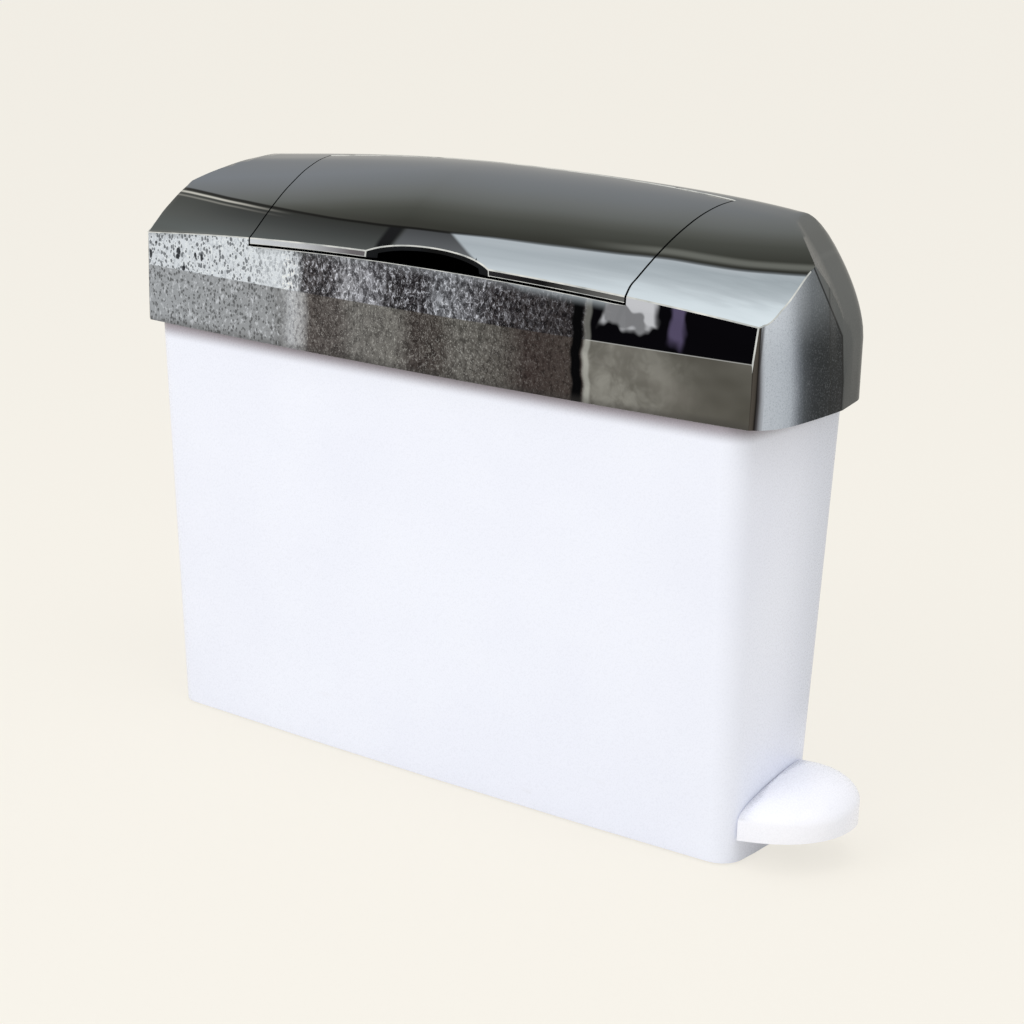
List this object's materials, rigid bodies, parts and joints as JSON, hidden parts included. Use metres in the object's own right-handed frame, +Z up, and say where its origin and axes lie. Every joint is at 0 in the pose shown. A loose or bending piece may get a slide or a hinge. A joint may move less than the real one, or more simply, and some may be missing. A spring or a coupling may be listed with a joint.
{
  "type": "sanitary container",
  "caption": "Slim upright waste bin: tapered white body, bright domed hood with a hinged flap and finger notch, and a rounded pedal at one end that lifts the flap.",
  "frame": {"origin": "on the floor, under the middle of the part's length and width, the pedal included", "axes": "+X towards the pedal end, +Z up, -Y towards the long face that has the finger notch"},
  "size_m": [0.5976, 0.1644, 0.4432],
  "materials": {
    "white_plastic": "gloss white moulding",
    "grey_plastic": "matt grey moulding",
    "pale_plastic": "matt pale moulding",
    "chrome": "mirror bright",
    "steel": "plain steel",
    "rubber": "black rubber",
    "nylon": "natural nylon"
  },
  "bodies": {
    "body": {"bin_body": "white_plastic", "base_cover": "grey_plastic", "base_foot_1": "rubber", "base_foot_2": "rubber", "base_foot_3": "rubber", "base_foot_4": "rubber", "base_screw_1": "steel", "base_screw_2": "steel", "base_screw_3": "steel", "base_screw_4": "steel", "pedal_axle": "steel", "bay_partition": "grey_plastic", "rod_guide_lower": "nylon", "rod_guide_upper": "nylon", "bag_hoop": "steel"},
    "pedal_arm": {"pedal": "white_plastic", "pedal_lever": "grey_plastic", "tread_screw_1": "steel", "tread_screw_2": "steel"},
    "rod": {"push_rod": "steel", "rod_foot": "nylon", "rod_head": "nylon"},
    "hood_unit": {"hood": "chrome", "lid_frame": "grey_plastic", "frame_screw_1": "steel", "frame_screw_2": "steel", "frame_screw_3": "steel", "frame_screw_4": "steel", "hinge_bracket_left": "pale_plastic", "hinge_bracket_right": "pale_plastic", "hinge_screw_left": "steel", "hinge_screw_right": "steel", "modesty_pin_left": "steel", "modesty_pin_right": "steel", "modesty_spring_left": "steel", "modesty_spring_right": "steel"},
    "flap_unit": {"flap": "chrome", "flap_liner": "pale_plastic", "hinge_pin_left": "steel", "hinge_pin_right": "steel", "crank_roller": "nylon", "roller_pin": "steel"},
    "modesty": {"modesty_flap": "pale_plastic"}
  },
  "joints": [
    {"name": "hood_lift", "type": "slide", "parent": "body", "child": "hood_unit", "axis": [0, 0, 1], "range_m": [0, 0.14]},
    {"name": "flap_open", "type": "hinge", "parent": "hood_unit", "child": "flap_unit", "pos_m": [-0.01885, 0.013, 0.4225], "axis": [-1, 0, 0], "range_deg": [0, 60]},
    {"name": "pedal_press", "type": "hinge", "parent": "body", "child": "pedal_arm", "pos_m": [0.22715, 0, 0.018], "axis": [0, 1, 0], "range_deg": [0, 10.01]},
    {"name": "rod_slide", "type": "slide", "parent": "body", "child": "rod", "axis": [0, 0, 1], "range_m": [0, 0.01612]},
    {"name": "modesty_tip", "type": "hinge", "parent": "hood_unit", "child": "modesty", "pos_m": [-0.01885, 0.024, 0.3305], "axis": [1, 0, 0], "range_deg": [0, 50], "stiffness_Nm_per_rad": 0.03, "springref_deg": -68.75}
  ],
  "couplings": [
    {"joint": "pedal_press", "follows": "flap_open", "ratio": 0.16667},
    {"joint": "rod_slide", "follows": "flap_open", "m_per_rad": 0.015374}
  ]
}
